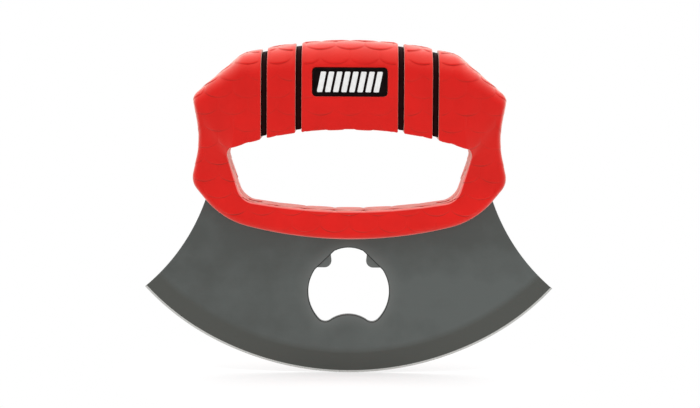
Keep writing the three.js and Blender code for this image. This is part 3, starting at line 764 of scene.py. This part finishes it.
def blade_coat():
    """The coat of the blade's faces: darker on the main grind and lighter round the opener."""
    finish, colour = coat("blade_coat", (0.080, 0.086, 0.081), (0.107, 0.118, 0.113))
    m = finish.math
    # Distance from the opener's round sides and its sill, with the lobes between them rounded
    past_side = m("SUBTRACT", from_centre(finish, OPENER_HEIGHT), OPENER_RADIUS)
    sill_height = OPENER_HEIGHT - OPENER_SILL - OPENER_SILL_RADIUS
    past_sill = m("SUBTRACT", OPENER_SILL_RADIUS, from_centre(finish, sill_height))
    reach = [m("MAXIMUM", m("ADD", past, OPENER_LOBE_RADIUS), 0) for past in (past_side, past_sill)]
    square = m("ADD", *(m("MULTIPLY", r, r) for r in reach))
    away = m("SUBTRACT", m("SQRT", square), OPENER_LOBE_RADIUS)
    near = finish.spread(away, 1, 0, 0, OPENER_LIGHTER_REACH)
    colour = finish.mix(m("POWER", near, OPENER_LIGHTER_POWER), colour, (0.137, 0.145, 0.139))
    grind = EDGE_RADIUS - GRIND_WIDTH
    ground = finish.spread(from_centre(finish, EDGE_RADIUS), 0, 1, *(grind + fade for fade in GRIND_FADE))
    finish.paint(base_color=finish.mix(ground, colour, (0.080, 0.083, 0.075)))
    return finish


def plain_steel(name):
    finish = Finish(name, (0.55, 0.55, 0.53), 0.3, metallic=1.0)
    lines = finish.noise(0.2, detail=2, stretch=(1, 1, 8))
    finish.paint(
        base_color=finish.mix(finish.spread(lines, 0, 1), (0.47, 0.47, 0.45), (0.62, 0.62, 0.6)),
        roughness=finish.spread(lines, 0.22, 0.4),
    )
    return finish


# Blade: the cutting edge is an arc about a point above it, and each side an arc about a point beside it
EDGE_CENTRE = point(0, EDGE_RADIUS)
HALF_SPAN = BLADE_SPAN / 2
FACE = BLADE_THICKNESS / 2
LEDGE = FACE - TAB_THICKNESS  # y of the tabs' stepped front
GRIND_STEPS = 6
EDGE_COLUMNS = 260
SIDE_STEPS = 48
COAT, BARE, RIM = range(3)


def on_arc(radius, angles):
    """Points at these angles from straight down of a curve that runs along the edge, or inside it."""
    angles = np.atleast_1d(angles)
    kept = 1 - TIP_BEND * np.maximum(np.abs(angles) - math.radians(TIP_START), 0) ** 2
    return EDGE_CENTRE + (radius * kept)[:, None] * np.column_stack([np.sin(angles), -np.cos(angles)])


ANGLES = np.linspace(0, math.pi / 2, 5001)  # fine enough to look up where two curves meet


def side_centre():
    tip = on_arc(EDGE_RADIUS, np.interp(HALF_SPAN, on_arc(EDGE_RADIUS, ANGLES)[:, 0], ANGLES))[0]
    neck = outer.at(outer.marks["heel"][0])[0]
    chord = neck - tip
    stand = math.sqrt(SIDE_RADIUS ** 2 - chord @ chord / 4)
    return (tip + neck) / 2 + unit(point(chord[1], -chord[0])) * stand


SIDE_CENTRE = side_centre()


def half_thickness(radius):
    """Half the blade's thickness at this distance from the centre of the edge's arc."""
    places = [EDGE_RADIUS - GRIND_WIDTH, EDGE_RADIUS - EDGE_BEVEL_WIDTH, EDGE_RADIUS]
    return float(np.interp(radius, places, [FACE, GRIND_THICKNESS / 2, EDGE_THICKNESS / 2]))


def meets_side(radius, side_radius):
    """Angle from straight down at which a curve that runs along the edge meets the arc of the right side."""
    away = np.linalg.norm(on_arc(radius, ANGLES) - SIDE_CENTRE, axis=1)
    past = int(np.argmax(away <= side_radius))
    pair = [past, past - 1]
    return np.interp(side_radius, away[pair], ANGLES[pair])


def opener_chains():
    """The right half of the opener: its roof from the middle line, the tab's edge, and the rest."""
    centre = point(0, OPENER_HEIGHT)
    roof_centre = point(0, OPENER_HEIGHT + OPENER_ROOF - OPENER_ROOF_RADIUS)
    roof_end = math.acos(OPENER_ROOF_SPAN / 2 / OPENER_ROOF_RADIUS)
    roof = arc(roof_centre, OPENER_ROOF_RADIUS, math.pi / 2, roof_end)
    sill_centre = point(0, OPENER_HEIGHT - OPENER_SILL - OPENER_SILL_RADIUS)
    to_side, to_sill = OPENER_RADIUS - OPENER_LOBE_RADIUS, OPENER_SILL_RADIUS + OPENER_LOBE_RADIUS
    drop = centre[1] - sill_centre[1]
    rise = (to_sill ** 2 - to_side ** 2 + drop ** 2) / (2 * drop)
    lobe = point(math.sqrt(to_sill ** 2 - rise ** 2), sill_centre[1] + rise)
    from_side, from_sill = angle_of(lobe - centre), angle_of(sill_centre - lobe)
    side = arc(centre, OPENER_RADIUS, math.asin(OPENER_SIDE_TOP / OPENER_RADIUS), from_side, 2 * CORNER_STEPS)
    lobe_arc = arc(lobe, OPENER_LOBE_RADIUS, from_side, from_sill)
    sill = arc(sill_centre, OPENER_SILL_RADIUS, from_sill + math.pi, math.pi / 2)
    inside = point(TAB_ROOT_SPAN / 2, roof[-1][1] - (TAB_ROOT_SPAN - OPENER_ROOF_SPAN) / 2)
    tip = point(TAB_SPAN / 2, side[0][1] + TAB_LIFT)
    outside = point(side[0][0] - TAB_LIFT / 2, tip[1])
    tab = rounded_corners([
        (roof[-1], 0),
        (inside, TAB_ROOT_RADIUS),
        (tip, TAB_TIP_RADIUS),
        (outside, TAB_ROOT_RADIUS),
        (side[0], 0),
    ])
    return roof, np.concatenate(tab), np.concatenate([side, lobe_arc[1:], sill[1:]])


def around(*chains):
    """A closed loop from the chains of its right half and their mirror images."""
    right = np.concatenate(chains)
    loop = np.concatenate([right, (right * LEFT_RIGHT)[::-1]])
    apart = np.linalg.norm(loop - np.roll(loop, 1, axis=0), axis=1) > SAME_POINT
    return loop[apart]


def outside_of(chain, loop, reach):
    """The chain's points, which lie on the loop, moved out from the loop."""
    along = np.roll(loop, -1, axis=0) - np.roll(loop, 1, axis=0)
    normal = np.column_stack([-along[:, 1], along[:, 0]])
    normal /= np.linalg.norm(normal, axis=1)[:, None]
    nearest = np.argmin(np.linalg.norm(loop[None] - chain[:, None], axis=2), axis=1)
    return chain + normal[nearest] * reach


def add_blade(finishes):
    patch = Patchwork()
    radii = np.concatenate([
        [EDGE_RADIUS],
        np.linspace(EDGE_RADIUS - EDGE_BEVEL_WIDTH, EDGE_RADIUS - GRIND_WIDTH, GRIND_STEPS + 1),
    ])
    thickness = [half_thickness(r) for r in radii]
    chamfer = [min(SIDE_CHAMFER, h / 2) for h in thickness]
    columns = np.linspace(-1, 1, EDGE_COLUMNS + 1)
    arcs = [on_arc(r, columns * meets_side(r, SIDE_RADIUS + c)) for r, c in zip(radii, chamfer)]

    # The flats above the grind run up the sides and end inside the lower bar
    start = angle_of(arcs[-1][-1] - SIDE_CENTRE) % (2 * math.pi)
    bar = leg_sections(OUTER_STRIPE_SPAN / 2)
    bar = bar.middle[bar.middle[:, 1] < FINGER_BOTTOM + BULGE_RISE]
    end = math.pi - math.asin((bar[0][1] - SIDE_CENTRE[1]) / SIDE_RADIUS)
    side_face = arc(SIDE_CENTRE, SIDE_RADIUS + SIDE_CHAMFER, start, end, SIDE_STEPS)
    side_wall = arc(SIDE_CENTRE, SIDE_RADIUS, start, end, SIDE_STEPS)
    bar = bar[bar[:, 0] < side_face[-1][0] - SIDE_CHAMFER]
    top = np.concatenate([bar, (bar * LEFT_RIGHT)[::-1][1:]])
    left_face = (side_face * LEFT_RIGHT)[::-1]
    flat = np.concatenate([arcs[-1], side_face[1:], top, left_face[:-1]])

    roof, tab, rest = opener_chains()
    front_hole, back_hole = around(roof, rest), around(roof, tab, rest)
    front_rim = outside_of(front_hole, front_hole, HOLE_CHAMFER)
    back_rim = outside_of(back_hole, back_hole, HOLE_CHAMFER)
    for y, hole in ((-FACE, front_rim), (FACE, back_rim)):
        patch.fill([flat, hole], y, COAT)
        way = math.copysign(1, y)
        rows = [at_y(a, way * h) for a, h in zip(arcs, thickness)]
        patch.grid(rows[:2], BARE)
        patch.grid(rows[1:], COAT)
    patch.grid([at_y(arcs[0], -thickness[0]), at_y(arcs[0], thickness[0])], BARE)
    closing = np.concatenate([side_face[-1:], top, left_face[:1]])
    patch.grid([at_y(closing, -FACE), at_y(closing, FACE)], COAT)

    # Sides, from the tips up
    wall = [on_arc(r, meets_side(r, SIDE_RADIUS))[0] for r in radii]
    wall = np.concatenate([wall, side_wall[1:]])
    face = np.concatenate([[a[-1] for a in arcs], side_face[1:]])
    thickness = np.concatenate([thickness, np.full(SIDE_STEPS, FACE)])
    chamfer = np.concatenate([chamfer, np.full(SIDE_STEPS, SIDE_CHAMFER)])
    for flip in (np.ones(2), LEFT_RIGHT):
        rows = [
            at_y(face * flip, -thickness), at_y(wall * flip, chamfer - thickness),
            at_y(wall * flip, thickness - chamfer), at_y(face * flip, thickness),
        ]
        patch.grid(rows, COAT)
        for k in (0, -1):
            patch.add([row[k] for row in rows], [(0, 1, 2, 3)], COAT)

    # The opener's walls, with a stepped tab on each side
    deep = FACE - HOLE_CHAMFER
    arch = np.concatenate([(roof * LEFT_RIGHT)[::-1], roof[1:]])
    bowl = np.concatenate([rest, (rest * LEFT_RIGHT)[::-1][1:]])
    for chain in (arch, bowl):
        front = at_y(outside_of(chain, front_hole, HOLE_CHAMFER), -FACE)
        back = at_y(outside_of(chain, back_hole, HOLE_CHAMFER), FACE)
        patch.grid([front, at_y(chain, -deep)], RIM)
        patch.grid([at_y(chain, -deep), at_y(chain, LEDGE), at_y(chain, deep)], RIM)
        patch.grid([at_y(chain, deep), back], RIM)
    for flip in (np.ones(2), LEFT_RIGHT):
        step = np.array([roof[-1], rest[0]]) * flip
        edge = np.concatenate([roof[-1:], tab, rest[:1]]) * flip
        front = at_y(outside_of(step, front_hole, HOLE_CHAMFER), -FACE)
        back = at_y(outside_of(edge, back_hole, HOLE_CHAMFER), FACE)
        patch.grid([front, at_y(step, -deep), at_y(step, LEDGE)], RIM)
        patch.grid([at_y(edge, LEDGE), at_y(edge, deep), back], RIM)
        patch.fill([edge], LEDGE, COAT)
    return patch.build("blade_plate", finishes, sharp_degrees=6)


# Badge: a rounded rim round a sunk panel
GRIP_FRONT = -GRIP_THICKNESS / 2
RIM_WIDTH = 0.65
RIM_BEVEL = 0.1
RIM_DRAFT = 0.05  # how far the rim's inner wall leans in on its way down to the panel
PANEL_DEPTH = 0.3
BADGE_ROUND = 0.25
ROUND_MIDDLE = 0.3  # share of that rounding taken off half way round it
BARS = 8
BAR_PITCH = 2.95
BAR_WIDTH = 2.0
BAR_LENGTH = 7.5
BAR_SLANT = 1.5  # how far a bar's top leans to the right of its foot
BAR_PROUD = 0.22
BAR_BEVEL = 0.12
BAR_CORNER = 0.35


def add_badge(finish):
    face = GRIP_FRONT + BADGE_SINK
    taken = ROUND_MIDDLE * BADGE_ROUND
    profile = [
        (0, GRIP_FRONT + POCKET_DEPTH - BADGE_GAP),
        (0, face + BADGE_ROUND),
        (-taken, face + taken),
        (-BADGE_ROUND, face),
        (-RIM_WIDTH, face),
        (-RIM_WIDTH - RIM_BEVEL, face + RIM_BEVEL),
        (-RIM_WIDTH - RIM_BEVEL - RIM_DRAFT, face + PANEL_DEPTH),
    ]
    patch = Patchwork()
    rows = [(rounded_rectangle(grow), y) for grow, y in profile]
    patch.grid([at_y(*row) for row in rows], closed=True)
    patch.fill([rows[0][0]], rows[0][1])
    patch.fill([rows[-1][0]], rows[-1][1])
    return patch.build("badge_plate", [finish], sharp_degrees=35)


def add_badge_bars(finish):
    foot = GRIP_FRONT + BADGE_SINK + PANEL_DEPTH
    patch = Patchwork()

    def outline(middle, grow):
        w, h, lean = BAR_WIDTH / 2 + grow, BAR_LENGTH / 2 + grow, BAR_SLANT / 2
        corners = [point(lean + w, h), point(w - lean, -h), point(-lean - w, -h), point(lean - w, h)]
        chain = [(c, BAR_CORNER) for c in (corners[-1], *corners, corners[0])]
        return np.concatenate(rounded_corners(chain, BAR_STEPS)) + point(middle, BADGE_MIDDLE)

    for k in range(BARS):
        middle = (k - (BARS - 1) / 2) * BAR_PITCH
        profile = [(0, foot + BAR_BEVEL), (0, foot - BAR_PROUD + BAR_BEVEL), (-BAR_BEVEL, foot - BAR_PROUD)]
        rows = [(outline(middle, grow), y) for grow, y in profile]
        patch.grid([at_y(*row) for row in rows], closed=True)
        patch.fill([rows[0][0]], rows[0][1])
        patch.fill([rows[-1][0]], rows[-1][1])
    return patch.build("badge_bars", [finish], sharp_degrees=35)


def add_core(finish):
    """The core all round the loop, with its four hoops raised into the stripes."""
    reach = OUTER_STRIPE_SPAN / 2 + STRIPE_WIDTH
    edges, depths = [0.0], [CORE_INSET]
    flat, bevel = HOOP_REACH - HOOP_BEVEL, STRIPE_RECESS + HOOP_BEVEL
    for span in (INNER_STRIPE_SPAN, OUTER_STRIPE_SPAN):
        edges += [span / 2 + x for x in (-HOOP_REACH, -HOOP_REACH, -flat, flat, HOOP_REACH, HOOP_REACH)]
        depths += [CORE_INSET, bevel, STRIPE_RECESS, STRIPE_RECESS, bevel, CORE_INSET]
    leg = leg_sections(reach)[::2]  # half as fine as the skin that hides it
    right = grip_sections(edges) + leg
    insets = np.concatenate([depths, np.full(len(leg), CORE_INSET)])
    loop = right + right.mirrored()[1:-1]
    return add_tube("core_shell", loop, np.concatenate([insets, insets[::-1][1:-1]]), finish)


def dress(piece, slot, *nodes):
    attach(piece, "root")
    if nodes:
        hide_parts(*nodes)


rubber = red_rubber()
centre_end = (INNER_STRIPE_SPAN - STRIPE_WIDTH) / 2
band_start = (INNER_STRIPE_SPAN + STRIPE_WIDTH) / 2
band_end = (OUTER_STRIPE_SPAN - STRIPE_WIDTH) / 2
frame_start = (OUTER_STRIPE_SPAN + STRIPE_WIDTH) / 2

grip_centre = add_skin("skin_centre", skin_stretch(-centre_end, centre_end), rubber)
pocket = prism("pocket", rounded_rectangle(BADGE_GAP), 2 * GRIP_FRONT, GRIP_FRONT + POCKET_DEPTH)
cut(grip_centre, pocket, sharp_degrees=50)
dress(grip_centre, "grip_rubber", "grip_centre")
right_band = add_skin("skin_band_right", skin_stretch(band_start, band_end), rubber)
dress(right_band, "grip_rubber", "grip_band_right")
left_band = add_skin("skin_band_left", skin_stretch(-band_end, -band_start), rubber)
dress(left_band, "grip_rubber", "grip_band_left")
right_half = grip_sections(frame_start + LIP_ALONG[:-1]) + leg_sections(frame_start + SKIN_LIP)
whole_frame = right_half + right_half.mirrored()[1:]
dress(add_skin("skin_frame", whole_frame, rubber), "grip_rubber", "grip_frame")
# The core's black is tinted red: painted reflection of the red skin beside its stripes
core_black_red_bounce = black_plastic("black_core_red_bounce", (0.010, 0.002, 0.002), (0.016, 0.004, 0.004))
dress(add_core(core_black_red_bounce), "core_plastic", "core_front", "core_back")
badge_black = black_plastic("black_badge", (0.004, 0.002, 0.002), (0.009, 0.005, 0.005))
dress(add_badge(badge_black), "badge_plastic", "badge")
dress(add_badge_bars(white_plastic()), "badge_plastic")
blade_finishes = [
    blade_coat(),
    plain_steel("bare_edge"),
    # The opener's chamfers and walls get a darker coat: painted shade
    coat("rim_coat_painted_shade", (0.034, 0.037, 0.035), (0.044, 0.048, 0.045))[0],
]
dress(add_blade(blade_finishes), "coated_steel", "blade")
rivet_steel = plain_steel("rivet_steel")
for name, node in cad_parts.items():
    if "rivet" in name:
        node.data.materials.clear()
        node.data.materials.append(rivet_steel.material)

# Camera: at the photograph's place, which is level with the top of the grip, with the knife leaning a little
CAMERA_PLACE = (0.0, -743.9, 126.1)
CAMERA_TARGET = (0.32, 0.0, 63.4)
CAMERA_ROLL = math.radians(0.35)
FOCAL_LENGTH = 102.9
SENSOR_WIDTH = 36.0

camera_data = bpy.data.cameras.new("camera")
camera_data.lens = FOCAL_LENGTH
camera_data.sensor_width = SENSOR_WIDTH
camera_data.clip_start = 0.01
camera = bpy.data.objects.new("camera", camera_data)
bpy.context.scene.collection.objects.link(camera)
sight = Vector(CAMERA_TARGET) - Vector(CAMERA_PLACE)
turn = sight.to_track_quat("-Z", "Y").to_matrix().to_4x4() @ Matrix.Rotation(CAMERA_ROLL, 4, "Z")
camera.matrix_world = Matrix.Translation(Vector(CAMERA_PLACE) * MM) @ turn
bpy.context.scene.camera = camera


def seen_white(tree, shader, white_kind, output, share=None):
    """Shows plain white instead of this shader to the camera, and in reflections and through glass, all over
    or for this share of each point."""
    rays = tree.nodes.new("ShaderNodeLightPath")
    white = tree.nodes.new(white_kind)
    white.inputs["Color"].default_value = (1, 1, 1, 1)
    white.inputs["Strength"].default_value = 1.0
    seen = rays.outputs["Is Camera Ray"]
    steps = [("MAXIMUM", rays.outputs["Is Glossy Ray"]), ("MAXIMUM", rays.outputs["Is Transmission Ray"])]
    if share:
        steps.append(("MULTIPLY", share))
    for operation, other in steps:
        math_node = tree.nodes.new("ShaderNodeMath")
        math_node.operation = operation
        tree.links.new(seen, math_node.inputs[0])
        tree.links.new(other, math_node.inputs[1])
        seen = math_node.outputs[0]
    mix = tree.nodes.new("ShaderNodeMixShader")
    tree.links.new(seen, mix.inputs[0])
    tree.links.new(shader.outputs[0], mix.inputs[1])
    tree.links.new(white.outputs[0], mix.inputs[2])
    tree.links.new(mix.outputs[0], output.inputs["Surface"])


# World: soft light from all round, white where it is seen
AMBIENT = 0.53
world = bpy.data.worlds.new("studio")
bpy.context.scene.world = world
world.use_nodes = True
background = world.node_tree.nodes["Background"]
background.inputs["Color"].default_value = (1, 1, 1, 1)
background.inputs["Strength"].default_value = AMBIENT
seen_white(world.node_tree, background, "ShaderNodeBackground", world.node_tree.nodes["World Output"])

# Floor: pale, with the knife's shadow where it stands, and running out into the white round about
FLOOR_REACH = 4.0
SHADE_REACH = (0.01, 0.09)  # from which distance to which the shadow runs out
SHADE_LEAST = 0.45  # share of white in the middle of the shadow


def add_floor():
    mesh = bpy.data.meshes.new("floor")
    corners = [(x * FLOOR_REACH, y * FLOOR_REACH, 0) for x, y in ((-1, -1), (1, -1), (1, 1), (-1, 1))]
    mesh.from_pydata(corners, [], [range(4)])
    finish = Finish("floor_white", (0.92, 0.92, 0.92), 0.9, specular=0.0)
    finish.paint(base_color=finish.mix(finish.noise(300), (0.9, 0.9, 0.9), (0.94, 0.94, 0.94)))
    away = finish.node("ShaderNodeVectorMath", {0: finish.place}, operation="LENGTH").outputs["Value"]
    far = finish.spread(away, SHADE_LEAST, 1, *SHADE_REACH)
    output = finish.tree.nodes["Material Output"]
    seen_white(finish.tree, finish.shader, "ShaderNodeEmission", output, far)
    mesh.materials.append(finish.material)
    floor = add_piece("floor", mesh)


add_floor()

# Lamps: wide and soft, all aimed at the middle of the knife
LAMP_TARGET = (0, 0, 0.07)


def add_lamp(name, place, size, watts):
    data = bpy.data.lights.new(name, "AREA")
    data.shape = "RECTANGLE"
    data.size, data.size_y = size
    data.energy = watts
    lamp = bpy.data.objects.new(name, data)
    bpy.context.scene.collection.objects.link(lamp)
    aim = (Vector(LAMP_TARGET) - Vector(place)).to_track_quat("-Z", "Y").to_matrix().to_4x4()
    lamp.matrix_world = Matrix.Translation(Vector(place)) @ aim


add_lamp("overhead", place=(0, 0.15, 0.95), size=(2.0, 0.6), watts=8.0)
add_lamp("back", place=(0, 0.8, 0.75), size=(1.6, 0.4), watts=4.0)
add_lamp("front", place=(0, -0.45, 0.95), size=(1.4, 0.6), watts=5.0)

bpy.context.scene.view_settings.view_transform = "Standard"
